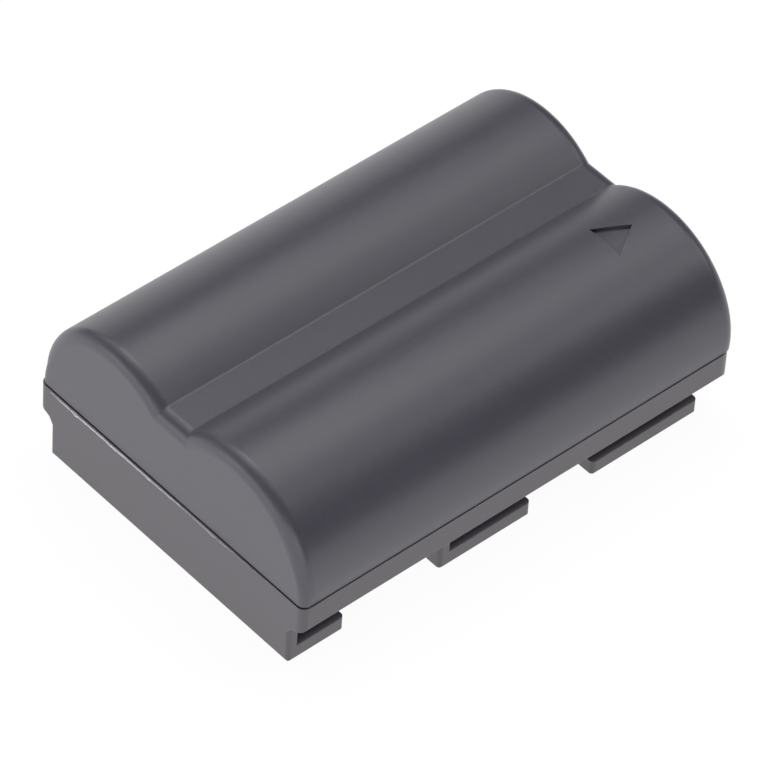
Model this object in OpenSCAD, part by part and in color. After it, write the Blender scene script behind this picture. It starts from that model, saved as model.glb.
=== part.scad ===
// Rechargeable two-cell pack with a slide-in case.
// X is the width, Y the length and Z the height. The origin is the middle of the flat underside.
// The contact end faces +Y and the plain end faces -Y. All sizes are in millimetres.

/* [Cells] */
// Diameter of a bare cell
cell_d = 17.7; // [14:0.1:22]
// Length of a bare cell, from its base to the top of its cap
cell_l = 49; // [38:0.5:62]
// Free space between the two sleeved cells
cell_gap = 0.3; // [0.1:0.05:1]
// Thickness of the shrink sleeve
sleeve_t = 0.1; // [0.05:0.01:0.2]
// Diameter of the positive cap
cap_d = 9.2; // [6:0.1:11]
// Height of the positive cap over the crimped edge
cap_h = 0.4; // [0.3:0.05:0.8]
// Distance of the rolled groove under the crimped edge
groove_z = 3; // [2.5:0.1:4]
// Depth of the rolled groove
groove_depth = 0.6; // [0.3:0.05:0.9]

/* [Case] */
// Wall over and beside the cells
shell_wall = 0.9; // [0.7:0.1:1.5]
// Thickness of the floor under the cells
floor_t = 0.8; // [0.6:0.1:2]
// Wall of the plain end
plain_wall = 1.35; // [1:0.05:2.5]
// Wall of the contact end
contact_wall = 1.2; // [0.9:0.05:2.5]
// Clearance between a sleeved cell and its bore
bore_clearance = 0.2; // [0.1:0.05:0.6]
// Distance of the plain lobe's centre inside its cell's axis
plain_lobe_shift = 0.2; // [0:0.05:0.4]
// The same for the fuller lobe that has the arrow
arrow_lobe_shift = 0.6; // [0.4:0.05:0.8]
// Radius of the rounded end edge of each lobe
lobe_edge_r = 1.4; // [0.8:0.1:2]
// Tighter radius at the foot of that edge, at the plain end
lobe_foot_r = 0.8; // [0.5:0.1:1.4]
// Drop from the crown of the lobes to the floor of the valley
valley_drop = 2.5; // [1.5:0.1:4]
// Radius of the fillets along the valley
valley_fillet_r = 0.5; // [0.3:0.1:1]
// Wall under the floor of the valley
valley_wall = 1.1; // [0.8:0.1:2]
// Thickness of the ribs that cradle the cells
rib_t = 1.2; // [0.8:0.1:2]
// Distance from a cell's end to the middle of the outer rib
rib_end_room = 9.8; // [3:0.1:14]

/* [Parting line] */
// Drop from the cells' axes to the lower shell's top edge
parting_drop = 1.6; // [1.2:0.05:2.5]
// Open groove between the shells
parting_groove = 0.06; // [0.04:0.01:0.3]
// Open groove along the plain end, where the shells close less tightly
plain_groove = 0.15; // [0.04:0.01:0.3]
// Step of the rim outside the lobes
rim_step = 0.05; // [0:0.05:0.3]
// Step of the rim outside the upper shell's plain end
plain_step = 0.1; // [0:0.05:0.3]
// Step of the upper shell outside the rim's contact end
contact_step = 0.2; // [0:0.05:0.3]
// Height of the tongue over the parting line
tongue_h = 0.9; // [0.6:0.1:1.2]
// Skin of the upper shell outside the tongue
tongue_skin = 0.5; // [0.35:0.05:0.7]
// Play between the tongue and its rebate
tongue_play = 0.05; // [0.02:0.01:0.15]

/* [Rim and rails] */
// Height of the rim's upright face
rim_h = 2.95; // [1.5:0.05:4]
// Height of the slope under the rim
rim_slope_h = 0.8; // [0.3:0.05:1.2]
// Corner radius of the rim at the plain end
rim_plain_r = 0.85; // [0.6:0.05:2]
// Corner radius of the rim at the contact end
rim_contact_r = 1.6; // [0.6:0.1:2]
// Bevel on the rim's lower edge
rim_bevel = 0.16; // [0.05:0.01:0.4]
// Distance of the rails' outer faces inside the rim
rail_inset = 1.75; // [0.8:0.05:3]
// Thickness of a rail
rail_t = 1.65; // [1:0.05:2.5]
// Width of the slot floor on top of a rail
rail_w = 2.85; // [1.5:0.05:4]
// Length of the near rail, from the plain end
rail_near_l = 6.95; // [4:0.05:10]
// Length of the middle rail
rail_middle_l = 11.6; // [6:0.1:14]
// Length of the far rail
rail_far_l = 13.8; // [8:0.1:18]
// Gap between the middle and the far rail
rail_gap = 8; // [3:0.1:10]
// Distance from the far rail to the contact end
rail_far_inset = 2.7; // [1:0.1:6]
// Thickness of the web that closes the middle rail's slot
rail_web_t = 1.45; // [1:0.05:2.5]
// Radius of the rails' upright corners
rail_corner_r = 0.45; // [0.2:0.05:0.7]
// Bevel on the rails' outer edges
rail_bevel = 0.08; // [0.05:0.01:0.3]
// Bevel on the edges of the underside
foot_bevel = 0.12; // [0.05:0.01:0.5]

/* [Arrow] */
// Width of the arrow across its base
arrow_w = 4.4; // [2:0.1:6]
// Length of the arrow
arrow_l = 3.6; // [2:0.1:6]
// Depth of the arrow
arrow_depth = 0.42; // [0.2:0.02:0.6]
// Distance from the arrow's tip to the contact end
arrow_tip_inset = 5.05; // [3:0.05:12]
// Distance of the arrow outside the middle of its lobe
arrow_offset = 0.2; // [0:0.05:1]

/* [Contacts] */
// Distance between the middles of two contacts
contact_pitch = 3.6; // [3:0.1:4.5]
// Width of a contact
contact_w = 1.6; // [1:0.1:2.2]
// Height of a contact
contact_h = 3.6; // [2:0.1:4.2]
// Play between a contact and its window
window_play = 0.25; // [0.1:0.05:0.5]
// Rise from the board's lower edge to the lower edge of a contact
contact_rise = 0.6; // [0.3:0.1:1]
// Distance of a contact's face inside the rim's contact end
contact_recess = 0.4; // [0.2:0.05:0.6]
// Thickness of the contact sheet
contact_t = 0.25; // [0.15:0.05:0.4]

/* [Board and strips] */
// Reach of the circuit board past the cells' axes
board_reach = 2.95; // [1.5:0.05:3.5]
// Room over the circuit board, under the roof of the valley
board_head_room = 2.4; // [2:0.1:4]
// Thickness of the circuit board
board_t = 0.8; // [0.6:0.1:1.2]
// Rise from the floor to the board's lower edge
board_lift = 1.2; // [1:0.1:1.6]
// Room for the parts on the board
parts_room = 1.05; // [0.9:0.05:2]
// Free space between the board and the contact wall
board_gap = 0.5; // [0.3:0.05:1]
// Play of the board's edges in their guides
board_play = 0.1; // [0.05:0.01:0.2]
// Thickness of the nickel strips
strip_t = 0.15; // [0.1:0.01:0.2]
// Width of the nickel strips
strip_w = 5; // [3:0.1:6]
// Reach of the series strip past the cells' axes
strip_reach = 3.7; // [2:0.1:5]
// Width of the sense lead
lead_w = 1.5; // [0.8:0.1:2]
// Thickness of the paper insulators
paper_t = 0.2; // [0.1:0.02:0.4]
// Thickness of the foam cushion
cushion_t = 0.4; // [0.2:0.05:1]
// Width of the foam cushion
cushion_w = 23; // [12:0.5:30]
// Height of the foam cushion
cushion_h = 6; // [3:0.5:9]
// Width of the tape under a cell
tape_w = 6.2; // [3:0.1:8]
// Width of the thermal fuse
fuse_w = 1.8; // [1:0.1:2]
// Thickness of the thermal fuse
fuse_t = 0.9; // [0.5:0.1:1]
// Length of the thermal fuse
fuse_l = 7; // [4:0.5:10]

/* [Hidden] */
$fn = 96;

// Cells and bores
can_r = cell_d / 2;
sleeve_r = can_r + sleeve_t;
bore_r = sleeve_r + bore_clearance;
cell_x = sleeve_r + cell_gap / 2;
axis_z = floor_t + bore_r;
parting_z = axis_z - parting_drop;

// Lobes and valley. The plain lobe is on side -1, the one with the arrow on side 1.
function lobe_shift(side) = side < 0 ? plain_lobe_shift : arrow_lobe_shift;
function lobe_r(side) = bore_r + shell_wall + lobe_shift(side);
function lobe_x(side) = cell_x - lobe_shift(side);
function lobe_z(side) = axis_z - lobe_shift(side);
function lobe_foot_x(side) = lobe_x(side) + sqrt(pow(lobe_r(side), 2) - pow(lobe_z(side) - parting_z, 2));
lobe_reach = cell_x + bore_r + shell_wall;
crown_z = axis_z + bore_r + shell_wall;
valley_z = crown_z - valley_drop;
channel_z = valley_z - valley_wall;
channel_half = cell_x - sqrt(pow(bore_r, 2) - pow(channel_z - axis_z, 2));

// Places along the length, worked out from the plain end
case_l = plain_wall + cushion_t + paper_t + strip_t + cell_l + strip_t + paper_t + parts_room
       + board_t + board_gap + contact_wall;
plain_y = -case_l / 2;
contact_y = case_l / 2;
cavity_y0 = plain_y + plain_wall;
cushion_y1 = cavity_y0 + cushion_t;
near_paper_y1 = cushion_y1 + paper_t;
cell_y0 = near_paper_y1 + strip_t;
cell_y1 = cell_y0 + cell_l;
far_strip_y1 = cell_y1 + strip_t;
far_paper_y1 = far_strip_y1 + paper_t;
board_y0 = far_paper_y1 + parts_room;
board_y1 = board_y0 + board_t;
cavity_y1 = contact_y - contact_wall;

// Ends of the upper shell's plain end and of the lower shell's contact end
upper_y0 = plain_y + plain_step;
upper_l = contact_y - upper_y0;
lower_y1 = contact_y - contact_step;

// Rim, slope and belly of the lower shell
case_w = 2 * (lobe_reach + rim_step);
rail_x = case_w / 2 - rail_inset;
rim_z = parting_z - rim_h;
slope_z = rim_z - rim_slope_h;
belly_r = bore_r + shell_wall;
foot_x = rail_x - rail_w;

// Rails, each as [start, end] along Y
near_rail = [plain_y, plain_y + rail_near_l];
far_rail = [contact_y - rail_far_inset - rail_far_l, contact_y - rail_far_inset];
middle_rail = [far_rail[0] - rail_gap - rail_middle_l, far_rail[0] - rail_gap];

// Ribs that cradle the cells
rib_middles = [cell_y0 + rib_end_room, (cell_y0 + cell_y1) / 2, cell_y1 - rib_end_room];

// Crimped end of a cell, and what lies on it
crimp_z = cell_l - cap_h;
crimp_edge = 0.4;
crimp_w = 1.85;
groove_half = 0.3;
groove_flank = 0.4;
washer_t = cap_h / 2;
washer_play = 0.2;
sleeve_fold = 1.5;

// Circuit board, and the contacts that stand on it
board_w = 2 * (cell_x + board_reach);
board_z = floor_t + board_lift;
board_top = channel_z - board_head_room;
contact_z = board_z + contact_rise;

// Strips that rise to the board and fold over its top edge
fold_z = board_top + 0.3;
fold_drop = 1.6;
terminal_w = 4;
terminal_x = cell_x - 1.5;
lead_z = channel_z - 0.4;
strip_corner_r = 1;

// Paper sheets, tapes, and the small parts on the board
sheet_waist = 6;
tape_end_room = 5;
tape_play = 0.01;
chip_z = board_top - 4.8;
passive_z = board_z + 1.5;
passive_size = [1.6, 0.8];
passive_pitch = 2.5;
capacitor_x = board_w / 2 - 3.5;
resistor_x = board_w / 2 - 2.7;
thermistor_z = board_z + 2.2;

// Guides that hold the board's edges
guide_w = 1.2;
guide_bite = 0.7;
guide_x = board_w / 2 - guide_bite;

// A little more than nothing, for cuts that pass through a face
past = 0.1;
// More than the whole case, for cuts and limits that are open on one side
beyond = 2 * case_l;

// Pushes a profile drawn in X and Z along Y
module along_y(from, to) {
    translate([0, to, 0])
        rotate([90, 0, 0])
            linear_extrude(to - from)
                children();
}

// Pushes a profile drawn in Y and Z along X, to both sides
module along_x(width) {
    translate([-width / 2, 0, 0])
        rotate([90, 0, 90])
            linear_extrude(width)
                children();
}

// Rectangle with round corners, around the origin
module round_rect(w, l, r) {
    square([w - 2 * r, l], center = true);
    square([w, l - 2 * r], center = true);
    for (sx = [-1, 1], sy = [-1, 1])
        translate([sx * (w / 2 - r), sy * (l / 2 - r)])
            circle(r, $fn = 48);
}

// Plan of the rim, with its own corner radius at each end
module rim_plan() {
    for (corner = [[plain_y, 1, rim_plain_r], [lower_y1, -1, rim_contact_r]]) {
        y = corner[0];
        inwards = corner[1];
        r = corner[2];
        translate([0, y + inwards * r])
            mirror([0, inwards > 0 ? 0 : 1]) {
                translate([r - case_w / 2, -r])
                    square([case_w - 2 * r, r + past]);
                for (side = [-1, 1])
                    translate([side * (case_w / 2 - r), 0])
                        circle(r, $fn = 48);
            }
    }
    translate([-case_w / 2, plain_y + rim_plain_r])
        square([case_w, lower_y1 - plain_y - rim_plain_r - rim_contact_r]);
}

// Rectangle from x0 to x1 and from z0 to z1
module rect(x0, x1, z0, z1) {
    translate([x0, z0])
        square([x1 - x0, z1 - z0]);
}

// The same thing at both cell places
module both_cells(x = cell_x, z = axis_z) {
    for (side = [-1, 1])
        translate([side * x, z])
            children();
}

// Cylinder along -Y with rounded end edges, from the end at y
module round_bar(r, l, edge_r, x, y, z) {
    translate([x, y, z])
        rotate([90, 0, 0])
            rotate_extrude() {
                square([r - edge_r, l]);
                translate([0, edge_r])
                    square([r, l - 2 * edge_r]);
                for (h = [edge_r, l - edge_r])
                    translate([r - edge_r, h])
                        circle(edge_r, $fn = 48);
            }
}

// One lobe, with a fuller corner at the foot of its plain end
module lobe(side) {
    r = lobe_r(side);
    foot_r = r - 0.25;
    foot_middle = side * (lobe_foot_x(side) - foot_r);
    foot_l = 4 * lobe_edge_r;
    round_bar(r, upper_l, lobe_edge_r, side * lobe_x(side), contact_y, lobe_z(side));
    round_bar(foot_r, foot_l, lobe_foot_r, foot_middle, upper_y0 + foot_l, parting_z);
}

// Block between the lobes, with the same rounded end edges
module valley() {
    along_x(2 * lobe_x(1)) {
        rect(upper_y0, contact_y, 0, valley_z - lobe_edge_r);
        rect(upper_y0 + lobe_edge_r, contact_y - lobe_edge_r, 0, valley_z);
        for (y = [upper_y0 + lobe_edge_r, contact_y - lobe_edge_r])
            translate([y, valley_z - lobe_edge_r])
                circle(lobe_edge_r, $fn = 48);
    }
}

// Fillet between a lobe and the valley, rounded over at both ends like the edges beside it
module valley_fillet(side) {
    f = valley_fillet_r;
    // The fillet bites a little into both surfaces, and its block reaches a little under them
    bite = 0.005;
    reach = f + 0.2;
    up = valley_z + f - bite - lobe_z(side);
    to_lobe = lobe_r(side) + f - bite;
    across = sqrt(pow(to_lobe, 2) - pow(up, 2));
    x = lobe_x(side) - across;
    z = lobe_z(side) + up;
    foot = [x + reach * across / to_lobe, z - reach * up / to_lobe];
    mirror([side > 0 ? 0 : 1, 0, 0])
        difference() {
            along_y(upper_y0 + lobe_edge_r / 20, contact_y - lobe_edge_r / 20)
                polygon([[x, z], [x, z - reach], [foot[0], z - reach], foot]);
            translate([x, contact_y, z])
                rotate([90, 0, 0])
                    rotate_extrude() {
                        square([f, upper_l]);
                        for (end = [0, upper_l])
                            difference() {
                                translate([0, end > 0 ? end - lobe_edge_r : 0])
                                    square([f + lobe_edge_r, lobe_edge_r]);
                                translate([f + lobe_edge_r, end > 0 ? end - lobe_edge_r : lobe_edge_r])
                                    circle(lobe_edge_r, $fn = 48);
                            }
                    }
        }
}

// Space inside the case, in section: both bores and the channel between them
module bay_section() {
    // The channel's corners lie a little inside the bores, so that no sliver is left
    half = channel_half + past;
    both_cells()
        circle(bore_r);
    rect(-cell_x, cell_x, floor_t, axis_z);
    rect(-half, half, axis_z - past, channel_z);
}

// The bay, without the ribs that stay standing between the cells
module bay() {
    difference() {
        along_y(cavity_y0, cavity_y1)
            bay_section();
        for (y = rib_middles)
            difference() {
                along_y(y - rib_t / 2, y + rib_t / 2)
                    rect(-cell_x, cell_x, 0, beyond);
                along_y(y - rib_t, y + rib_t)
                    both_cells()
                        circle(bore_r);
                // Keeps the wires' way over and under the cells open
                along_y(y - rib_t, y + rib_t)
                    rect(-lead_w, lead_w, axis_z, channel_z);
                along_y(y - rib_t, y + rib_t)
                    rect(-lead_w, lead_w, parting_z - 1, axis_z + past);
            }
    }
}

// Plan of the tongue, or of its rebate with the play added
module tongue_plan(play) {
    inset = tongue_skin - play;
    outer_w = 2 * (lobe_reach - inset);
    outer_l = upper_l - 2 * inset;
    translate([0, (upper_y0 + contact_y) / 2])
        round_rect(outer_w, outer_l, lobe_edge_r - inset);
}

// Triangle that points to the contact end
module arrow_plan() {
    tip_y = contact_y - arrow_tip_inset;
    polygon([[-arrow_w / 2, tip_y - arrow_l], [arrow_w / 2, tip_y - arrow_l], [0, tip_y]]);
}

// Upper shell: two lobes and the valley, hollowed for the cells
module upper_case() {
    color("#5b5a5f")
        difference() {
            union() {
                valley();
                for (side = [-1, 1]) {
                    lobe(side);
                    valley_fillet(side);
                }
            }
            bay();
            // Everything under the parting groove
            translate([-beyond / 2, -beyond / 2, parting_z + parting_groove - beyond])
                cube(beyond);
            // Wider groove along the plain end
            translate([-beyond / 2, plain_y - past, parting_z])
                cube([beyond, plain_step + tongue_skin + past, plain_groove]);
            // Rebate for the lower shell's tongue
            translate([0, 0, parting_z - past])
                linear_extrude(tongue_h + past)
                    tongue_plan(tongue_play);
            // Arrow, with a floor that follows the lobe
            difference() {
                translate([lobe_x(1) + arrow_offset, 0, lobe_z(1)])
                    linear_extrude(lobe_r(1) + past)
                        arrow_plan();
                translate([lobe_x(1), contact_y, lobe_z(1)])
                    rotate([90, 0, 0])
                        cylinder(r = lobe_r(1) - arrow_depth, h = case_l);
            }
        }
}

// Outside of the lower shell under the rim, in section: the wall that hugs the cells
module belly_section() {
    intersection() {
        union() {
            both_cells()
                circle(belly_r);
            rect(-cell_x, cell_x, 0, axis_z);
        }
        rect(-beyond, beyond, 0, rim_z);
    }
    rect(-foot_x, foot_x, 0, belly_foot_z);
}

// Height at which the belly's round side meets the upright side of the foot
belly_foot_z = axis_z - sqrt(pow(belly_r, 2) - pow(foot_x - cell_x, 2)) + past;

// Slope and bevel from the rails' outer faces to the rim's upright face
module slope_section() {
    half = case_w / 2;
    polygon([[-rail_x, slope_z], [rail_x, slope_z], [half - rim_bevel, rim_z - rim_bevel],
             [half, rim_z + past], [half, rim_z + 2 * past], [-half, rim_z + 2 * past],
             [-half, rim_z + past], [rim_bevel - half, rim_z - rim_bevel]]);
}

// Slab across both rails' outer faces, with bevelled edges and rounded upright corners
module rail_slab(span, height, top_bevel) {
    low_x = rail_x - rail_bevel;
    high_x = rail_x - top_bevel;
    intersection() {
        along_y(span[0], span[1])
            polygon([[-low_x, 0], [low_x, 0], [rail_x, rail_bevel], [rail_x, height - top_bevel],
                     [high_x, height], [-high_x, height], [-rail_x, height - top_bevel],
                     [-rail_x, rail_bevel]]);
        translate([0, (span[0] + span[1]) / 2, -past])
            linear_extrude(height + 2 * past)
                round_rect(2 * rail_x, span[1] - span[0], rail_corner_r);
    }
}

// One rail on each long side, open on top
module rail_pair(span) {
    rail_slab(span, rail_t, rail_bevel);
}

// Wall across the full width of the rails, from the foot up into the rim
module full_wall(span) {
    rail_slab(span, rim_z, 0);
}

// Bevels on the four lower edges of the underside
module foot_limit() {
    along_x(beyond)
        polygon([[plain_y + foot_bevel, 0], [lower_y1 - foot_bevel, 0], [lower_y1, foot_bevel],
                 [lower_y1, axis_z + rim_h], [plain_y, axis_z + rim_h], [plain_y, foot_bevel]]);
}

// Windows of the contacts in the contact wall
module windows() {
    for (i = [0:3])
        translate([contact_x(i), 0, 0])
            along_y(cavity_y1 - past, contact_y + past)
                rect(-contact_w / 2 - window_play, contact_w / 2 + window_play,
                     contact_z - window_play, contact_z + contact_h + window_play);
}

// Guides for the board's upright edges, open at the top
module board_guides() {
    for (side = [-1, 1])
        difference() {
            intersection() {
                along_y(board_y0 - guide_w / 2, cavity_y1 + past)
                    rect(side * (guide_x + guide_w) - guide_w, side * (guide_x + guide_w) + guide_w,
                         0, parting_z);
                along_y(board_y0 - guide_w, cavity_y1 + past)
                    both_cells()
                        circle(bore_r + past);
            }
            along_y(board_y0 - board_play / 2, board_y1 + board_play / 2)
                rect(-board_w / 2 - board_play, board_w / 2 + board_play, board_z, beyond);
        }
}

// Lower shell: rim, belly, rails, tongue, contact windows and board guides
module lower_case() {
    color("#5f5e63") {
        difference() {
            intersection() {
                union() {
                    translate([0, 0, rim_z + past])
                        linear_extrude(rim_h - past)
                            rim_plan();
                    intersection() {
                        along_y(plain_y, lower_y1)
                            slope_section();
                        linear_extrude(axis_z)
                            rim_plan();
                    }
                    along_y(plain_y, lower_y1)
                        belly_section();
                    // The plain end's wall closes the near rail's slot
                    full_wall([plain_y, cavity_y0]);
                    rail_pair(near_rail);
                    full_wall([middle_rail[0], middle_rail[0] + rail_web_t]);
                    rail_pair(middle_rail);
                    rail_pair(far_rail);
                    // Tongue that the upper shell is welded to
                    translate([0, 0, parting_z - past])
                        linear_extrude(tongue_h + past)
                            tongue_plan(0);
                }
                foot_limit();
            }
            bay();
            windows();
        }
        board_guides();
    }
}

// A bare cell along +Z: base, can, rolled groove, crimped edge and cap
module cell_can() {
    neck_z = crimp_z - groove_z;
    rotate_extrude()
        polygon([[0, 0], [can_r - crimp_edge, 0], [can_r, crimp_edge],
                 [can_r, neck_z - groove_half - groove_flank],
                 [can_r - groove_depth, neck_z - groove_half],
                 [can_r - groove_depth, neck_z + groove_half],
                 [can_r, neck_z + groove_half + groove_flank],
                 [can_r, crimp_z - crimp_edge], [can_r - crimp_edge, crimp_z],
                 [can_r - crimp_w, crimp_z], [can_r - crimp_w, crimp_z - crimp_edge],
                 [cap_d / 2, crimp_z - crimp_edge], [cap_d / 2, cell_l], [0, cell_l]]);
}

// Shrink sleeve, folded over the crimped edge
module sleeve() {
    fold_t = washer_t / 2;
    difference() {
        cylinder(r = sleeve_r, h = crimp_z + fold_t);
        translate([0, 0, -past])
            cylinder(r = can_r, h = crimp_z + past);
        cylinder(r = can_r - sleeve_fold, h = cell_l);
    }
}

// Paper ring round the cap, on top of the folded sleeve
module washer() {
    translate([0, 0, crimp_z + washer_t / 2])
        difference() {
            cylinder(r = can_r - crimp_edge, h = washer_t);
            translate([0, 0, -past])
                cylinder(r = cap_d / 2 + washer_play, h = washer_t + 2 * past);
        }
}

// Places the left cell, with its cap at the contact end
module at_left() {
    translate([-cell_x, cell_y0, axis_z])
        rotate([-90, 0, 0])
            children();
}

// Places the right cell, with its cap at the plain end
module at_right() {
    translate([cell_x, cell_y1, axis_z])
        rotate([90, 0, 0])
            children();
}

module cell_left() {
    color("#9a9c9f")
        at_left()
            cell_can();
}

module cell_right() {
    color("#9a9c9f")
        at_right()
            cell_can();
}

module sleeve_left() {
    color("#3f7f8c")
        at_left()
            sleeve();
}

module sleeve_right() {
    color("#3f7f8c")
        at_right()
            sleeve();
}

module washer_left() {
    color("#e6dfcf")
        at_left()
            washer();
}

module washer_right() {
    color("#e6dfcf")
        at_right()
            washer();
}

// Strip from the left cell's base to the right cell's cap
module series_strip() {
    color("#c9c7c2")
        along_y(near_paper_y1, cell_y0)
            translate([0, axis_z])
                round_rect(2 * (cell_x + strip_reach), strip_w, strip_corner_r);
}

// Outline of both cell ends, for the paper sheets
module ends_section() {
    both_cells()
        circle(can_r - crimp_edge);
    rect(-cell_x, cell_x, axis_z - sheet_waist / 2, axis_z + sheet_waist / 2);
}

module near_insulator() {
    color("#d9cfae")
        along_y(cushion_y1, near_paper_y1)
            ends_section();
}

module near_cushion() {
    color("#26262a")
        along_y(cavity_y0, cushion_y1)
            translate([0, axis_z])
                square([cushion_w, cushion_h], center = true);
}

// Strip that rises from a cell's end, crosses over the board's top edge and folds down on its outside
module terminal_strip() {
    along_x(terminal_w) {
        rect(cell_y1, far_strip_y1, axis_z - strip_w / 2, fold_z + strip_t);
        rect(cell_y1, board_y1 + strip_t, fold_z, fold_z + strip_t);
        rect(board_y1, board_y1 + strip_t, board_top - fold_drop, fold_z + strip_t);
    }
}

module positive_strip() {
    color("#c9c7c2")
        translate([-terminal_x, 0, 0])
            terminal_strip();
}

module negative_strip() {
    color("#c9c7c2")
        translate([terminal_x, 0, 0])
            terminal_strip();
}

// Lead from the series strip, over the cells in the channel and down on the board
module sense_lead() {
    color("#b8a15c")
        along_x(lead_w) {
            rect(near_paper_y1, cell_y0, axis_z + strip_w / 2, lead_z + strip_t);
            rect(near_paper_y1, board_y1 + strip_t, lead_z, lead_z + strip_t);
            rect(board_y1, board_y1 + strip_t, board_top - fold_drop, lead_z + strip_t);
        }
}

// Curved tape between a sleeved cell and the floor
module tape() {
    along_y(cell_y0 + tape_end_room, cell_y1 - tape_end_room)
        intersection() {
            translate([0, axis_z])
                difference() {
                    circle(bore_r - tape_play);
                    circle(sleeve_r + tape_play);
                }
            rect(-tape_w / 2, tape_w / 2, 0, axis_z);
        }
}

module tape_left() {
    color("#efeee6")
        translate([-cell_x, 0, 0])
            tape();
}

module tape_right() {
    color("#efeee6")
        translate([cell_x, 0, 0])
            tape();
}

// Paper sheet between the cell ends and the board, cut off under the folds of the strips
module far_insulator() {
    color("#d9cfae")
        along_y(far_strip_y1, far_paper_y1)
            intersection() {
                ends_section();
                rect(-beyond, beyond, 0, board_top);
            }
}

module protection_board() {
    color("#2f6b46")
        along_y(board_y0, board_y1)
            rect(-board_w / 2, board_w / 2, board_z, board_top);
}

// Flat package with legs on its two short sides, its face towards the cells
module chip(w, h, t, legs) {
    leg_t = 0.15;
    leg_reach = 0.5;
    pitch = w / legs;
    along_y(board_y0 - t, board_y0 - leg_t)
        rect(-w / 2, w / 2, -h / 2, h / 2);
    for (i = [0:legs - 1], end = [-1, 1])
        translate([(i - (legs - 1) / 2) * pitch, 0, 0])
            along_y(board_y0 - 2 * leg_t, board_y0)
                rect(-pitch / 4, pitch / 4, end > 0 ? h / 2 - leg_reach : -h / 2 - leg_reach,
                     end > 0 ? h / 2 + leg_reach : leg_reach - h / 2);
}

module protection_chip() {
    color("#1b1b1e")
        translate([-4.2, 0, chip_z])
            chip(3, 2.6, 0.85, 4);
}

module mosfet_pair() {
    color("#1b1b1e")
        translate([4.2, 0, chip_z])
            chip(4.4, 3, 0.9, 4);
}

// Row of small blocks on the board's inner face, from the outermost one inwards
module passives(side, outer_x, count, t) {
    for (i = [0:count - 1])
        translate([side * (outer_x - i * passive_pitch), 0, passive_z])
            along_y(board_y0 - t, board_y0)
                square(passive_size, center = true);
}

module capacitors() {
    color("#b08a5a")
        passives(-1, capacitor_x, 3, 0.8);
}

module resistors() {
    color("#202022")
        passives(1, resistor_x, 4, 0.45);
}

// Bead in the lower channel between the cells, with two leads to the board
module thermistor() {
    bead_r = 0.75;
    bead_l = 2.2;
    bead_y = cell_y1 - 5;
    lead_r = 0.15;
    lead_gap = 0.7;
    color("#2a2a2c")
        translate([0, 0, thermistor_z]) {
            translate([0, bead_y, 0])
                rotate([90, 0, 0])
                    cylinder(r = bead_r, h = bead_l, $fn = 32);
            for (side = [-1, 1])
                translate([side * lead_gap / 2, board_y0, 0])
                    rotate([90, 0, 0])
                        cylinder(r = lead_r, h = board_y0 - bead_y + bead_l / 2, $fn = 24);
        }
}

// Flat cut-off in the upper channel, just under the sense lead
module thermal_fuse() {
    fuse_y = cell_y1 - 4 - fuse_l;
    color("#3a3a3e")
        along_y(fuse_y, fuse_y + fuse_l)
            rect(-fuse_w / 2, fuse_w / 2, lead_z - fuse_t, lead_z);
}

// Middle of contact number i along X
function contact_x(i) = (i - 1.5) * contact_pitch;

// Folded contact: a foot on the board and a face behind the window
module contact(i) {
    face_y = lower_y1 - contact_recess;
    contact_top = contact_z + contact_h;
    translate([contact_x(i), 0, 0])
        along_x(contact_w) {
            rect(board_y1, board_y1 + contact_t, contact_z, contact_top);
            rect(board_y1, face_y, contact_top - contact_t, contact_top);
            rect(face_y - contact_t, face_y, contact_z, contact_top);
        }
}

module contact_positive() {
    color("#d8b25a")
        contact(0);
}

module contact_temperature() {
    color("#d8b25a")
        contact(1);
}

module contact_data() {
    color("#d8b25a")
        contact(2);
}

module contact_negative() {
    color("#d8b25a")
        contact(3);
}

upper_case();
lower_case();
cell_left();
cell_right();
sleeve_left();
sleeve_right();
washer_left();
washer_right();
series_strip();
near_insulator();
near_cushion();
positive_strip();
negative_strip();
sense_lead();
tape_left();
tape_right();
far_insulator();
protection_board();
protection_chip();
mosfet_pair();
capacitors();
resistors();
thermistor();
thermal_fuse();
contact_positive();
contact_temperature();
contact_data();
contact_negative();
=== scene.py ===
"""Looks of a rechargeable two-cell pack: its contacts, its wired inside and its moulded case."""

import logging
import math
import random
from dataclasses import dataclass, field
from enum import Enum
from typing import Any, Optional, Union

import bpy
from mathutils import Matrix, Vector


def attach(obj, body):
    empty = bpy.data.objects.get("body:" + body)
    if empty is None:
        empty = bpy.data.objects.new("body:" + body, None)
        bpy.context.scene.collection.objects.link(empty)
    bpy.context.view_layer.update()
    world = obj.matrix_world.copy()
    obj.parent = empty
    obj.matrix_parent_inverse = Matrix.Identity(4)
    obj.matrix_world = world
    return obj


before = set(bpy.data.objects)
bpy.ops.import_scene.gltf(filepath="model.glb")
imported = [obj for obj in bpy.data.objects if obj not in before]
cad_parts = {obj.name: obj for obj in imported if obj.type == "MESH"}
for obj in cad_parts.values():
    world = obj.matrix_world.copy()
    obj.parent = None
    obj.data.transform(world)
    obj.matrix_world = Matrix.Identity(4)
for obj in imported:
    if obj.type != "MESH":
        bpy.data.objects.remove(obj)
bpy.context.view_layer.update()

log = logging.getLogger("pack")

MM = 0.001
Colour = tuple[float, float, float]
Number = Union[float, "Signal"]

# Samples of the Bevel nodes that find edges, and of those that soften them
EDGE_SAMPLES = 6
SOFTENING_SAMPLES = 8


def way_to(azimuth: float, elevation: float) -> Vector:
    """The way from the pack to a place round it.

    Args:
        azimuth: the angle round the pack in degrees, from straight before its plain end.
        elevation: the angle over the floor in degrees.

    Returns:
        The way, one unit long.
    """
    around, up = math.radians(azimuth), math.radians(elevation)
    return Vector((math.sin(around) * math.cos(up), -math.cos(around) * math.cos(up), math.sin(up)))


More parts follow.
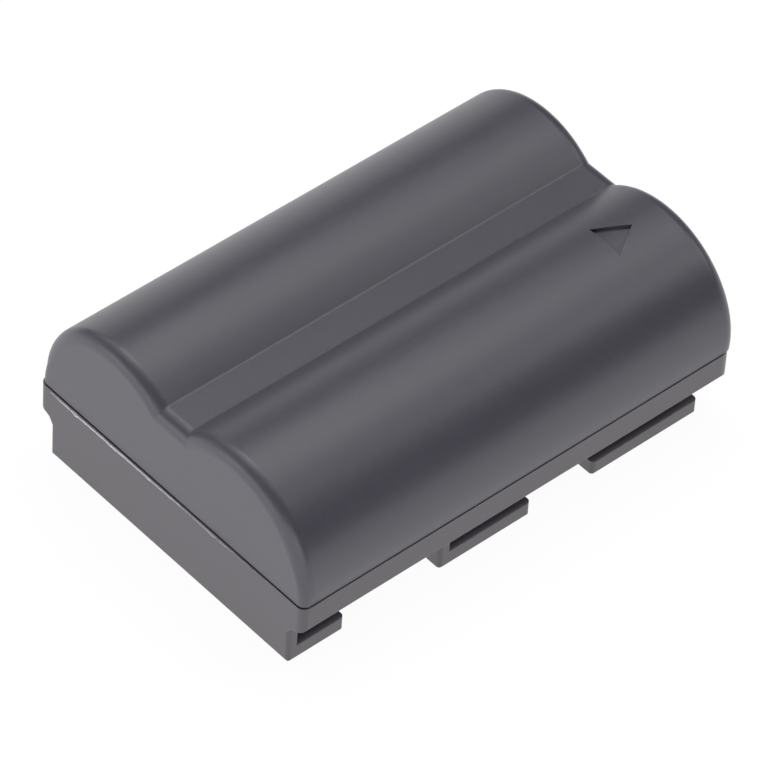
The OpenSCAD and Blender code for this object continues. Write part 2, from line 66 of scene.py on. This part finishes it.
class Signal:
    """A shader socket that can be used in Python expressions."""

    def __init__(self, shader: "Shader", socket: bpy.types.NodeSocket) -> None:
        """Keeps the socket and the shader that it belongs to.

        Args:
            shader: the shader whose tree holds the socket.
            socket: an output socket that carries numbers.
        """
        self.shader = shader
        self.socket = socket

    def _math(self, operation: str, first: Number, second: Number = 0.0) -> "Signal":
        """Adds one Math node.

        Args:
            operation: the node's operation, by Blender's name.
            first: the first number or signal.
            second: the second number or signal.

        Returns:
            The result as a signal.
        """
        return self.shader.node("ShaderNodeMath", {"operation": operation}, {0: first, 1: second})

    def __add__(self, other: Number) -> "Signal":
        """The sum with a number or signal."""
        return self._math("ADD", self, other)

    def __radd__(self, other: Number) -> "Signal":
        """The sum, with the number first."""
        return self._math("ADD", other, self)

    def __sub__(self, other: Number) -> "Signal":
        """The difference from a number or signal."""
        return self._math("SUBTRACT", self, other)

    def __rsub__(self, other: Number) -> "Signal":
        """A number less this signal."""
        return self._math("SUBTRACT", other, self)

    def __mul__(self, other: Number) -> "Signal":
        """The product with a number or signal."""
        return self._math("MULTIPLY", self, other)

    def __rmul__(self, other: Number) -> "Signal":
        """The product, with the number first."""
        return self._math("MULTIPLY", other, self)

    def at_least(self, low: Number) -> "Signal":
        """The larger of this signal and a limit."""
        return self._math("MAXIMUM", self, low)

    def at_most(self, high: Number) -> "Signal":
        """The smaller of this signal and a limit."""
        return self._math("MINIMUM", self, high)

    def ramp(self, low: float, high: float) -> "Signal":
        """This signal spread so that low becomes 0 and high becomes 1, and smoothed.

        Args:
            low: the value that becomes 0.
            high: the value that becomes 1.

        Returns:
            The spread signal, held between 0 and 1.
        """
        return self.shader.node(
            "ShaderNodeMapRange",
            {"interpolation_type": "SMOOTHSTEP"},
            {"Value": self, "From Min": low, "From Max": high, "To Min": 0.0, "To Max": 1.0},
        )


class Shader:
    """A material under construction, with its node tree."""

    def __init__(self, name: str) -> None:
        """Starts an empty material.

        Args:
            name: the material's name.
        """
        self.material = bpy.data.materials.new(name)
        self.material.use_nodes = True
        self.tree = self.material.node_tree
        self.tree.nodes.clear()

    def node(
        self,
        kind: str,
        settings: Optional[dict[str, Any]] = None,
        sockets: Optional[dict[Union[int, str], Any]] = None,
        output: Union[int, str] = 0,
    ) -> Signal:
        """Adds any node: its settings first, then the values and links of its sockets.

        Args:
            kind: the node's type, by Blender's name.
            settings: the node's attributes that are set.
            sockets: input sockets by name or number, each with a value or a signal.
            output: the output socket to return.

        Returns:
            The chosen output as a signal.
        """
        made = self.tree.nodes.new(kind)
        for key, value in (settings or {}).items():
            setattr(made, key, value)
        for key, value in (sockets or {}).items():
            if isinstance(value, Signal):
                self.tree.links.new(value.socket, made.inputs[key])
            else:
                made.inputs[key].default_value = value
        return Signal(self, made.outputs[output])

    def place(self, stretch: tuple[float, float, float] = (1.0, 1.0, 1.0)) -> Signal:
        """The surface's own place in metres, stretched along its axes.

        Args:
            stretch: the factor along X, Y and Z.

        Returns:
            A vector signal for a texture.
        """
        where = self.node("ShaderNodeTexCoord", output="Object")
        return self.node("ShaderNodeMapping", None, {"Vector": where, "Scale": stretch})

    def noise(
        self,
        grain_mm: float,
        detail: float = 2.0,
        rough: float = 0.5,
        stretch: tuple[float, float, float] = (1.0, 1.0, 1.0),
    ) -> Signal:
        """Cloudy noise of a real size.

        Args:
            grain_mm: the size of one cloud in millimetres.
            detail: how many finer layers are added.
            rough: the weight of the finer layers.
            stretch: the factor along X, Y and Z.

        Returns:
            A signal from about 0 to 1.
        """
        return self.node(
            "ShaderNodeTexNoise",
            {"noise_dimensions": "3D"},
            {
                "Vector": self.place(stretch),
                "Scale": 1.0 / (grain_mm * MM),
                "Detail": detail,
                "Roughness": rough,
            },
        )

    def part(self, vector: Signal, axis: str) -> Signal:
        """One part of a vector.

        Args:
            vector: the vector.
            axis: X, Y or Z.

        Returns:
            That part as a signal.
        """
        return self.node("ShaderNodeSeparateXYZ", None, {"Vector": vector}, axis)

    def edges(self, radius_mm: float) -> Signal:
        """Where the surface turns sharply within a radius.

        Args:
            radius_mm: how far from an edge the mark reaches, in millimetres.

        Returns:
            A signal near 0 on flats that grows towards an edge.
        """
        rounded = self.node(
            "ShaderNodeBevel", {"samples": EDGE_SAMPLES}, {"Radius": radius_mm * MM}
        )
        true = self.node("ShaderNodeNewGeometry", output="Normal")
        along = self.node(
            "ShaderNodeVectorMath", {"operation": "DOT_PRODUCT"}, {0: rounded, 1: true}, "Value"
        )
        return (1.0 - along).at_least(0.0)

    def blend(self, share: Number, first: Any, second: Any) -> Signal:
        """Mixes two colours.

        Args:
            share: how much of the second colour shows, from 0 to 1.
            first: the first colour or signal.
            second: the second colour or signal.

        Returns:
            The mixed colour.
        """
        made = self.tree.nodes.new("ShaderNodeMix")
        made.data_type = "RGBA"
        # On colours, a Mix node's factor and colours are its inputs 0, 6 and 7
        for number, value in ((0, share), (6, first), (7, second)):
            socket = made.inputs[number]
            if isinstance(value, Signal):
                self.tree.links.new(value.socket, socket)
            else:
                socket.default_value = (*value, 1.0) if isinstance(value, tuple) else value
        return Signal(self, made.outputs[2])

    def relief(self, height: Signal, depth_mm: float, radius_mm: float = 0.0) -> Signal:
        """A bumped normal, over edges that may be rounded a little.

        Args:
            height: the relief, from 0 to 1.
            depth_mm: the relief's depth in millimetres.
            radius_mm: the radius that sharp edges get, or 0.

        Returns:
            The normal.
        """
        sockets: dict[Union[int, str], Any] = {"Height": height, "Distance": depth_mm * MM}
        if radius_mm > 0.0:
            sockets["Normal"] = self.node(
                "ShaderNodeBevel", {"samples": SOFTENING_SAMPLES}, {"Radius": radius_mm * MM}
            )
        return self.node("ShaderNodeBump", None, sockets)

    def surface(self, **sockets: Any) -> bpy.types.Material:
        """Ends the material with the main shader.

        Args:
            sockets: the shader's sockets, with underscores for spaces.

        Returns:
            The finished material.
        """
        named = {key.replace("_", " "): value for key, value in sockets.items()}
        if isinstance(named.get("Base Color"), tuple):
            named["Base Color"] = (*named["Base Color"], 1.0)
        bsdf = self.node("ShaderNodeBsdfPrincipled", None, named)
        end = self.tree.nodes.new("ShaderNodeOutputMaterial")
        self.tree.links.new(bsdf.socket, end.inputs["Surface"])
        return self.material


@dataclass(frozen=True)
class Finish:
    """What every finish has: the slot that it is for, and its main colour."""

    slot: str
    colour: Colour

    def build(self) -> bpy.types.Material:
        """Makes the material of this finish."""
        raise NotImplementedError

    def shade(self, factor: float) -> Colour:
        """The main colour, made lighter or darker.

        Args:
            factor: what each part of the colour is multiplied by.

        Returns:
            The changed colour, with no part above 1.
        """
        red, green, blue = (min(1.0, part * factor) for part in self.colour)
        return red, green, blue


@dataclass(frozen=True)
class MouldedPlastic(Finish):
    """Matt moulded plastic with a fine spark-eroded grain."""

    roughness: float = 0.45
    refraction: float = 1.7
    grain_mm: float = 0.16
    grain_depth_mm: float = 0.006
    mottling: float = 0.12
    edge_wear_and_highlight: float = 0.12
    edge_band_mm: float = 0.3
    cloud_mm: float = 11.0
    softened_mm: float = 0.06
    grain_tone: float = 1.35
    lit_and_worn_tone: float = 2.5

    def painted_light(self, shader: Shader) -> Number:
        """How much painted light lies on the surface: none, unless a finish says so."""
        return 0.0

    def build(self) -> bpy.types.Material:
        """Makes the material, with pale edges that are partly real wear and partly painted
        highlight, any painted light that a finish adds, and a bumped grain.
        """
        shader = Shader(self.slot)
        clouds = shader.noise(self.cloud_mm, 3.0)
        grain = shader.noise(self.grain_mm, 2.0, 0.6)
        specks = shader.noise(self.grain_mm * 4.0, 1.0)
        # Pale edges: partly real wear, partly a painted highlight where an edge catches light
        near_edges = shader.edges(self.edge_band_mm).ramp(0.008, 0.09)
        rubbed_and_highlit = near_edges * shader.noise(1.4, 4.0, 0.7).ramp(0.3, 0.65)
        painted_light = self.painted_light(shader)
        patches = clouds * 0.5 + specks * 0.5
        darker, lighter = self.shade(1.0 - self.mottling), self.shade(1.0 + self.mottling)
        even = shader.blend(patches, darker, lighter)
        toned = shader.blend((grain - 0.5) * 0.4 + 0.12, even, self.shade(self.grain_tone))
        # Painted light and the pale edges both lighten the colour towards the lighter tone
        lit_and_worn = (painted_light + rubbed_and_highlit * self.edge_wear_and_highlight).at_most(1.0)
        colour = shader.blend(lit_and_worn, toned, self.shade(self.lit_and_worn_tone))
        uneven = self.roughness + (clouds - 0.5) * 0.06 + (specks - 0.5) * 0.06
        return shader.surface(
            Base_Color=colour,
            Roughness=uneven - rubbed_and_highlit * 0.05,
            Normal=shader.relief(grain * 0.7 + specks * 0.5, self.grain_depth_mm, self.softened_mm),
            IOR=self.refraction,
        )


@dataclass(frozen=True)
class RailPlastic(MouldedPlastic):
    """The lower shell's plastic, with painted light on the outer band of the rails' tops."""

    rail_top_mm: float = 1.65
    band_mm: float = 0.1
    lit_from_mm: float = 16.7
    lit_to_mm: float = 17.4

    def painted_light(self, shader: Shader) -> Number:
        """How much painted light lies on each place: on the outer band of the rails' tops, which
        the rim above leaves unshaded.

        Args:
            shader: the material under construction.

        Returns:
            A signal that is 1 on the outer part of the rails' tops and 0 elsewhere.
        """
        where = shader.place()
        across, height = shader.part(where, "X"), shader.part(where, "Z")
        normal = shader.node("ShaderNodeNewGeometry", output="Normal")
        upward = shader.part(normal, "Z").ramp(0.5, 0.9)
        band = self.band_mm * MM
        low, high = (self.rail_top_mm - self.band_mm) * MM, (self.rail_top_mm + self.band_mm) * MM
        on_top = height.ramp(low - band, low) * (1.0 - height.ramp(high, high + band))
        # The square of X serves both sides
        near, far = (self.lit_from_mm * MM) ** 2, (self.lit_to_mm * MM) ** 2
        outer = (across * across).ramp(near, far)
        # Painted light: the outer band of each rail's top is painted paler than its shaded inner
        # part
        return upward * on_top * outer


@dataclass(frozen=True)
class HighlitFlashPlastic(Finish):
    """Plastic of the weld's beads, painted pale as a highlight along the rim's top edge."""

    roughness: float = 0.35
    highlight_full_until_mm: float = -9.0
    highlight_gone_from_mm: float = 15.0

    def build(self) -> bpy.types.Material:
        """Makes the material: a painted highlight, palest at the left corner and darker towards the
        right, broken by darker nicks.
        """
        shader = Shader("weld_flash_painted_highlight")
        along = shader.part(shader.place(), "X")
        # Painted highlight: the beads' colour is pale at the left and darkens along X
        highlight_fading = along.ramp(self.highlight_full_until_mm * MM, self.highlight_gone_from_mm * MM)
        nicks = shader.noise(0.5, 3.0, 0.7)
        pale = shader.blend(highlight_fading, self.shade(2.0), self.shade(0.7))
        return shader.surface(
            Base_Color=shader.blend(nicks.ramp(0.55, 0.75) * 0.6, pale, self.shade(0.4)),
            Roughness=self.roughness + (nicks - 0.5) * 0.2,
            Normal=shader.relief(nicks, 0.01),
        )


@dataclass(frozen=True)
class PlatedSheet(Finish):
    """Rolled or plated sheet metal, with draw lines and a little tarnish."""

    roughness: float = 0.26
    tarnish: float = 0.35
    line_stretch: tuple[float, float, float] = (1.0, 0.04, 1.0)

    def build(self) -> bpy.types.Material:
        """Makes the material, with fine lines along the sheet."""
        shader = Shader(self.slot)
        lines = shader.noise(0.05, 3.0, 0.6, self.line_stretch)
        stain = shader.noise(2.4, 4.0, 0.65).ramp(0.42, 0.72)
        bright = shader.edges(0.08).ramp(0.03, 0.4)
        dulled = shader.blend(stain * self.tarnish, self.colour, self.shade(0.55))
        colour = shader.blend(bright * 0.6, dulled, self.shade(1.25))
        return shader.surface(
            Base_Color=colour,
            Metallic=1.0 - stain * 0.15,
            Roughness=self.roughness + (lines - 0.5) * 0.2 + stain * 0.18,
            Normal=shader.relief(lines, 0.002, 0.03),
        )


@dataclass(frozen=True)
class ShrunkFilm(Finish):
    """Thin coloured film, shrunk tight round a cell."""

    roughness: float = 0.22

    def build(self) -> bpy.types.Material:
        """Makes the material, with soft ripples where the film has shrunk."""
        shader = Shader(self.slot)
        ripples = shader.noise(2.2, 2.0, 0.5, (1.0, 0.35, 1.0))
        dust = shader.noise(0.3, 3.0, 0.7).ramp(0.62, 0.8)
        scuffed = shader.edges(0.25).ramp(0.03, 0.3)
        even = shader.blend(ripples, self.shade(0.85), self.shade(1.2))
        return shader.surface(
            Base_Color=shader.blend(dust * 0.2 + scuffed * 0.3, even, self.shade(2.4)),
            Roughness=self.roughness + dust * 0.25 + scuffed * 0.15,
            Normal=shader.relief(ripples, 0.03, 0.05),
        )


@dataclass(frozen=True)
class PressedPaper(Finish):
    """Fish paper, card or paper tape, with short fibres."""

    fibre_mm: float = 0.12

    def build(self) -> bpy.types.Material:
        """Makes the material, with fibres in its colour and its relief."""
        shader = Shader(self.slot)
        fibres = shader.noise(self.fibre_mm, 4.0, 0.7, (1.0, 1.0, 0.3))
        clouds = shader.noise(4.0, 3.0)
        rim = shader.edges(0.12).ramp(0.05, 0.5)
        even = shader.blend(clouds, self.shade(0.9), self.shade(1.08))
        marked = fibres.ramp(0.4, 0.75) * 0.35 + rim * 0.2
        return shader.surface(
            Base_Color=shader.blend(marked, even, self.shade(0.7)),
            Roughness=0.8 + (fibres - 0.5) * 0.2,
            Normal=shader.relief(fibres, 0.02),
            Specular_IOR_Level=0.25,
        )


@dataclass(frozen=True)
class CellFoam(Finish):
    """Closed-cell foam."""

    cell_mm: float = 0.25

    def build(self) -> bpy.types.Material:
        """Makes the material, with small round cells."""
        shader = Shader(self.slot)
        cells = shader.node(
            "ShaderNodeTexVoronoi",
            None,
            {"Vector": shader.place(), "Scale": 1.0 / (self.cell_mm * MM)},
        )
        clouds = shader.noise(3.0, 2.0)
        return shader.surface(
            Base_Color=shader.blend(cells.ramp(0.1, 0.6), self.shade(0.6), self.shade(1.6)),
            Roughness=0.85 + (clouds - 0.5) * 0.15,
            Normal=shader.relief(cells, 0.06),
            Specular_IOR_Level=0.3,
        )


@dataclass(frozen=True)
class MaskedLaminate(Finish):
    """Glass-fibre board under solder mask, with the cloth's weave just showing."""

    weave_mm: float = 0.45

    def build(self) -> bpy.types.Material:
        """Makes the material, with a weave and a raw sawn edge."""
        shader = Shader(self.slot)
        where = shader.place()
        scale = 1.0 / (self.weave_mm * MM)
        across, up = (
            shader.node(
                "ShaderNodeTexWave",
                {"wave_type": "BANDS", "bands_direction": way},
                {"Vector": where, "Scale": scale, "Distortion": 0.6},
                "Fac",
            )
            for way in ("X", "Z")
        )
        weave = across * 0.5 + up * 0.5
        clouds = shader.noise(5.0, 2.0)
        sawn = shader.edges(0.15).ramp(0.1, 0.5)
        even = shader.blend(weave * 0.4 + clouds * 0.3, self.shade(0.8), self.shade(1.4))
        return shader.surface(
            Base_Color=shader.blend(sawn * 0.5, even, (0.32, 0.3, 0.14)),
            Roughness=0.32 + weave * 0.08 + sawn * 0.3,
            Normal=shader.relief(weave, 0.004, 0.03),
        )


@dataclass(frozen=True)
class FilledResin(Finish):
    """Resin or fired ceramic of small parts, with mineral specks."""

    speck_mm: float = 0.08
    roughness: float = 0.5

    def build(self) -> bpy.types.Material:
        """Makes the material, with fine specks and softened edges."""
        shader = Shader(self.slot)
        specks = shader.noise(self.speck_mm, 3.0, 0.7)
        clouds = shader.noise(1.2, 2.0)
        edge = shader.edges(0.1).ramp(0.05, 0.4)
        even = shader.blend(clouds, self.shade(0.88), self.shade(1.15))
        marked = specks.ramp(0.55, 0.75) * 0.3 + edge * 0.2
        return shader.surface(
            Base_Color=shader.blend(marked, even, self.shade(2.0)),
            Roughness=self.roughness + (specks - 0.5) * 0.2,
            Normal=shader.relief(specks, 0.006, 0.03),
        )


class Palette(Enum):
    """The finishes of this pack, one for each material slot."""

    UPPER = MouldedPlastic(
        "upper_plastic", (0.096, 0.09, 0.117), roughness=0.38, grain_depth_mm=0.012
    )
    # The lower shell's stronger pale edges paint the highlight along the rim's lower edge, and its
    # rail tops carry painted light
    LOWER = RailPlastic(
        "lower_plastic", (0.105, 0.093, 0.113), roughness=0.4, grain_depth_mm=0.014, edge_wear_and_highlight=0.3
    )
    # The weld beads' pale colour is a painted highlight
    FLASH = HighlitFlashPlastic("lower_plastic", (0.45, 0.44, 0.45))
    CELL = PlatedSheet("cell_steel", (0.55, 0.56, 0.58))
    SLEEVE = ShrunkFilm("sleeve_film", (0.05, 0.22, 0.27))
    CARD = PressedPaper("insulating_paper", (0.72, 0.66, 0.5))
    NICKEL = PlatedSheet("nickel", (0.6, 0.58, 0.55), line_stretch=(0.06, 1.0, 1.0))
    FOAM = CellFoam("foam", (0.03, 0.03, 0.035))
    TAPE = PressedPaper("tape", (0.8, 0.79, 0.74), fibre_mm=0.3)
    BOARD = MaskedLaminate("board_laminate", (0.04, 0.16, 0.08))
    RESIN = FilledResin("chip_resin", (0.02, 0.02, 0.022))
    CAPACITOR = FilledResin("capacitor_ceramic", (0.42, 0.27, 0.14), roughness=0.42)
    RESISTOR = FilledResin("resistor_ceramic", (0.03, 0.03, 0.03), roughness=0.3)
    GOLD = PlatedSheet("contact_gold", (0.83, 0.62, 0.25), roughness=0.22, tarnish=0.25)


@dataclass
class Workshop:
    """Makes each finish once and puts it on the pieces that need it."""

    made: dict[Palette, bpy.types.Material] = field(default_factory=dict)

    def material(self, finish: Palette) -> bpy.types.Material:
        """The material of a finish, made the first time it is asked for.

        Args:
            finish: the finish that is wanted.

        Returns:
            Its material.
        """
        if finish not in self.made:
            self.made[finish] = finish.value.build()
        return self.made[finish]

    def dress(self, node: str, finish: Palette) -> None:
        """Gives a carried-over node its material.

        Args:
            node: the node's name.
            finish: the finish that it gets.
        """
        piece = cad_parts[node]
        piece.data.materials.clear()
        piece.data.materials.append(self.material(finish))
        log.info("%s has the finish %s", node, finish.value.slot)

    def dress_all(self, finishes: dict[str, Palette]) -> None:
        """Gives several carried-over nodes their materials.

        Args:
            finishes: the finish of each node, by the node's name.
        """
        for node, finish in finishes.items():
            self.dress(node, finish)


@dataclass
class Case:
    """The moulded case: an upper shell welded to a lower shell."""

    workshop: Workshop

    def build(self) -> None:
        """Dresses both shells."""
        self.workshop.dress_all({"upper_case": Palette.UPPER, "lower_case": Palette.LOWER})


@dataclass(frozen=True)
class Bead:
    """One run of the weld's bead: its ends in millimetres, and how full it is along the way."""

    name: str
    first: tuple[float, float, float]
    last: tuple[float, float, float]
    fullness: tuple[tuple[float, float], ...]
    blobs: tuple[float, ...] = ()

    def share(self, place: float) -> float:
        """How full the bead is at a place.

        Args:
            place: the place along the bead, from 0 to 1.

        Returns:
            The share of the bead's full radius.
        """
        for (start, low), (end, high) in zip(self.fullness, self.fullness[1:]):
            if place <= end:
                return low + (high - low) * (place - start) / (end - start)
        return self.fullness[-1][1]


@dataclass
class WeldFlash:
    """The ragged beads that the weld pressed out over the lower shell's rim, painted pale as a
    highlight.
    """

    workshop: Workshop
    step_mm: float = 0.25
    radius_mm: float = 0.14
    wobble_mm: float = 0.025
    corners: int = 8
    lump: float = 1.7
    thinnest: float = 0.75
    thickest: float = 1.2
    seed: int = 11
    beads: tuple[Bead, ...] = (
        Bead(
            "weld_flash_end",
            (-17.6, -27.5, 8.06),
            (14.6, -27.5, 8.2),
            (
                (0.0, 0.2), (0.1, 1.0), (0.3, 1.05), (0.39, 0.8), (0.55, 0.85),
                (0.64, 0.5), (0.73, 1.0), (0.8, 0.9), (0.86, 0.5), (0.94, 0.5), (1.0, 0.15),
            ),
            (0.12, 0.45, 0.74),
        ),
        Bead(
            "weld_flash_corner",
            (19.2, -26.5, 8.2),
            (19.2, -24.6, 8.22),
            ((0.0, 0.4), (0.4, 0.7), (1.0, 0.2)),
        ),
    )

    def draw(self, bead: Bead, chance: random.Random) -> bpy.types.Object:
        """Draws one bead ring by ring along the rim, and smooths it.

        Args:
            bead: the bead that is drawn.
            chance: where its small irregularities come from.

        Returns:
            The bead's object.
        """
        first, last = Vector(bead.first), Vector(bead.last)
        along = last - first
        size, centre = bead.share(0.0), first * MM
        bpy.ops.object.select_all(action="DESELECT")
        bpy.ops.mesh.primitive_circle_add(
            vertices=self.corners,
            radius=self.radius_mm * MM * size,
            fill_type="NGON",
            location=centre,
            rotation=along.to_track_quat("Z", "Y").to_euler(),
        )
        drawn = bpy.context.active_object
        drawn.name = bead.name
        bpy.ops.object.mode_set(mode="EDIT")
        bpy.ops.mesh.select_all(action="SELECT")
        steps = round(along.length / self.step_mm)
        for step in range(1, steps + 1):
            place = step / steps
            wobble = Vector([chance.uniform(-self.wobble_mm, self.wobble_mm) for _ in range(3)])
            target = (first + along * place + wobble) * MM
            bpy.ops.mesh.extrude_region_move(TRANSFORM_OT_translate={"value": target - centre})
            centre = target
            lump = self.lump if any(abs(place - blob) * steps < 1.0 for blob in bead.blobs) else 1.0
            full = bead.share(place) * chance.uniform(self.thinnest, self.thickest) * lump
            bpy.ops.transform.resize(value=(full / size,) * 3, center_override=centre)
            size = full
        bpy.ops.mesh.select_all(action="SELECT")
        bpy.ops.mesh.normals_make_consistent(inside=False)
        bpy.ops.object.mode_set(mode="OBJECT")
        bpy.ops.object.transform_apply(location=True, rotation=True, scale=True)
        finer = drawn.modifiers.new("finer", "SUBSURF")
        finer.levels = finer.render_levels = 1
        bpy.ops.object.modifier_apply(modifier=finer.name)
        bpy.ops.object.shade_smooth()
        return drawn

    def build(self) -> None:
        """Draws every bead, dresses it and lets it ride on the pack."""
        chance = random.Random(self.seed)
        for bead in self.beads:
            drawn = self.draw(bead, chance)
            drawn.data.materials.append(self.workshop.material(Palette.FLASH))
            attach(drawn, "root")
            log.info("%s is a bead of %d faces", drawn.name, len(drawn.data.polygons))


@dataclass
class CellPair:
    """The two sleeved cells, and the tape that holds each one down."""

    workshop: Workshop

    def build(self) -> None:
        """Dresses both cells with what is wrapped round them and stuck under them."""
        for side in ("left", "right"):
            self.workshop.dress_all(
                {
                    f"cell_{side}": Palette.CELL,
                    f"sleeve_{side}": Palette.SLEEVE,
                    f"washer_{side}": Palette.CARD,
                    f"tape_{side}": Palette.TAPE,
                }
            )


@dataclass
class Wiring:
    """The welded strips, the sheets that insulate them and the cushion behind them."""

    workshop: Workshop

    def build(self) -> None:
        """Dresses the strips, the sheets and the cushion."""
        for node in ("series_strip", "positive_strip", "negative_strip", "sense_lead"):
            self.workshop.dress(node, Palette.NICKEL)
        for node in ("near_insulator", "far_insulator"):
            self.workshop.dress(node, Palette.CARD)
        self.workshop.dress("near_cushion", Palette.FOAM)


@dataclass
class ProtectionBoard:
    """The circuit board with its small parts and its four contacts."""

    workshop: Workshop

    def build(self) -> None:
        """Dresses the board and all that is soldered to it."""
        self.workshop.dress_all(
            {
                "protection_board": Palette.BOARD,
                "protection_chip": Palette.RESIN,
                "mosfet_pair": Palette.RESIN,
                "thermistor": Palette.RESIN,
                "thermal_fuse": Palette.RESIN,
                "capacitors": Palette.CAPACITOR,
                "resistors": Palette.RESISTOR,
            }
        )
        for use in ("positive", "temperature", "data", "negative"):
            self.workshop.dress(f"contact_{use}", Palette.GOLD)


@dataclass(frozen=True)
class SoftLamp:
    """A square soft lamp that stands round the pack and faces it."""

    name: str
    azimuth: float
    elevation: float
    watts: float
    size: float = 0.35
    distance: float = 0.8
    aim: tuple[float, float, float] = (0.0, 0.0, 0.01)

    def build(self) -> bpy.types.Object:
        """Hangs the lamp in its place.

        Returns:
            The lamp's object.
        """
        way = way_to(self.azimuth, self.elevation)
        data = bpy.data.lights.new(self.name, "AREA")
        data.shape = "SQUARE"
        data.size = self.size
        data.energy = self.watts
        lamp = bpy.data.objects.new(self.name, data)
        bpy.context.scene.collection.objects.link(lamp)
        lamp.location = Vector(self.aim) + way * self.distance
        lamp.rotation_euler = way.to_track_quat("Z", "Y").to_euler()
        return lamp


@dataclass(frozen=True)
class Viewpoint:
    """The photograph's camera: its angles, its distance and the point in the middle of the view."""

    azimuth: float = 46.0698
    elevation: float = 45.4804
    roll: float = 3.7595
    distance: float = 0.621013
    target: tuple[float, float, float] = (0.0028468, -0.0033282, 0.010)
    lens: float = 306.5
    sensor: float = 36.0
    nearest: float = 0.02
    farthest: float = 50.0

    def build(self) -> bpy.types.Object:
        """Sets up the camera and makes it the scene's own.

        Returns:
            The camera's object.
        """
        around, turn = math.radians(self.azimuth), math.radians(self.roll)
        back = way_to(self.azimuth, self.elevation)
        right = Vector((math.cos(around), math.sin(around), 0.0))
        above = back.cross(right)
        across = math.cos(turn) * right + math.sin(turn) * above
        upwards = math.cos(turn) * above - math.sin(turn) * right
        data = bpy.data.cameras.new("camera")
        data.lens = self.lens
        data.sensor_width = self.sensor
        data.clip_start = self.nearest
        data.clip_end = self.farthest
        camera = bpy.data.objects.new("camera", data)
        bpy.context.scene.collection.objects.link(camera)
        place = Matrix((across, upwards, back)).transposed().to_4x4()
        place.translation = Vector(self.target) + back * self.distance
        camera.matrix_world = place
        bpy.context.scene.camera = camera
        return camera


@dataclass
class Studio:
    """The pale floor, the soft lamps, the dim room and the camera."""

    floor_size: float = 6.0
    floor_height: float = -0.00005
    floor_tone: float = 0.9
    floor_glow: float = 1.06
    shadow_share: float = 0.1
    room: float = 0.02
    lamps: tuple[SoftLamp, ...] = (
        SoftLamp("low_left_back_lamp", -120.0, 12.0, 0.35),
        SoftLamp("low_left_lamp", -60.0, 12.0, 0.28),
        SoftLamp("low_near_left_lamp", -30.0, 12.0, 0.76),
        SoftLamp("low_near_lamp", 0.0, 12.0, 0.67),
        SoftLamp("low_near_right_lamp", 30.0, 12.0, 0.56),
        SoftLamp("low_right_lamp", 60.0, 12.0, 0.78),
        SoftLamp("left_lamp", -90.0, 38.0, 0.33),
        SoftLamp("right_back_lamp", 150.0, 38.0, 0.8),
        SoftLamp("high_left_back_lamp", -120.0, 64.0, 1.22),
        SoftLamp("high_left_lamp", -60.0, 64.0, 0.4),
        SoftLamp("high_back_lamp", 180.0, 64.0, 0.74),
        SoftLamp("high_right_lamp", 120.0, 64.0, 0.14),
        SoftLamp("top_lamp", 0.0, 89.9, 0.22),
    )
    viewpoint: Viewpoint = field(default_factory=Viewpoint)

    def floor(self) -> bpy.types.Object:
        """Lays the floor, which looks white and keeps the pack's shadow.

        Returns:
            The floor's object.
        """
        bpy.ops.object.select_all(action="DESELECT")
        bpy.ops.mesh.primitive_plane_add(
            size=self.floor_size, location=(0.0, 0.0, self.floor_height)
        )
        plane = bpy.context.active_object
        plane.name = "floor"
        bpy.ops.object.transform_apply(location=True, rotation=True, scale=True)
        shader = Shader("floor_paper")
        seen = shader.node("ShaderNodeLightPath", output="Is Camera Ray")
        mirrored = shader.node("ShaderNodeLightPath", output="Is Glossy Ray")
        through = shader.node("ShaderNodeLightPath", output="Is Transmission Ray")
        fibres = shader.noise(0.6, 3.0)
        paper = shader.blend(fibres, (self.floor_tone * 0.99,) * 3, (self.floor_tone * 1.01,) * 3)
        matt = shader.node("ShaderNodeBsdfDiffuse", None, {"Color": paper})
        glow = shader.node("ShaderNodeEmission", None, {"Strength": self.floor_glow})
        share = (seen * (1.0 - self.shadow_share) + mirrored + through).at_most(1.0)
        both = shader.node("ShaderNodeMixShader", None, {0: share, 1: matt, 2: glow})
        end = shader.tree.nodes.new("ShaderNodeOutputMaterial")
        shader.tree.links.new(both.socket, end.inputs["Surface"])
        plane.data.materials.append(shader.material)
        return plane

    def walls(self) -> None:
        """Makes the room: white to the camera, and dim to the pack."""
        world = bpy.data.worlds.new("room")
        world.use_nodes = True
        bpy.context.scene.world = world
        nodes, links = world.node_tree.nodes, world.node_tree.links
        nodes.clear()
        path = nodes.new("ShaderNodeLightPath")
        level = nodes.new("ShaderNodeMapRange")
        level.inputs["To Min"].default_value = self.room
        level.inputs["To Max"].default_value = 1.0
        back = nodes.new("ShaderNodeBackground")
        back.inputs["Color"].default_value = (1.0, 1.0, 1.0, 1.0)
        end = nodes.new("ShaderNodeOutputWorld")
        links.new(path.outputs["Is Camera Ray"], level.inputs["Value"])
        links.new(level.outputs["Result"], back.inputs["Strength"])
        links.new(back.outputs["Background"], end.inputs["Surface"])

    def build(self) -> None:
        """Sets up the whole studio."""
        self.floor()
        self.walls()
        for lamp in self.lamps:
            lamp.build()
        self.viewpoint.build()
        bpy.context.scene.view_settings.view_transform = "Standard"
        log.info("the studio has %d lamps", len(self.lamps))


def main() -> None:
    """Builds the pack's looks from the inside out, then the studio."""
    logging.basicConfig(level=logging.INFO, format="%(name)s: %(message)s")
    workshop = Workshop()
    assemblies = (
        CellPair(workshop),
        Wiring(workshop),
        ProtectionBoard(workshop),
        Case(workshop),
        WeldFlash(workshop),
    )
    for assembly in assemblies:
        log.info("building %s", type(assembly).__name__)
        assembly.build()
    Studio().build()


if __name__ == "__main__":
    main()
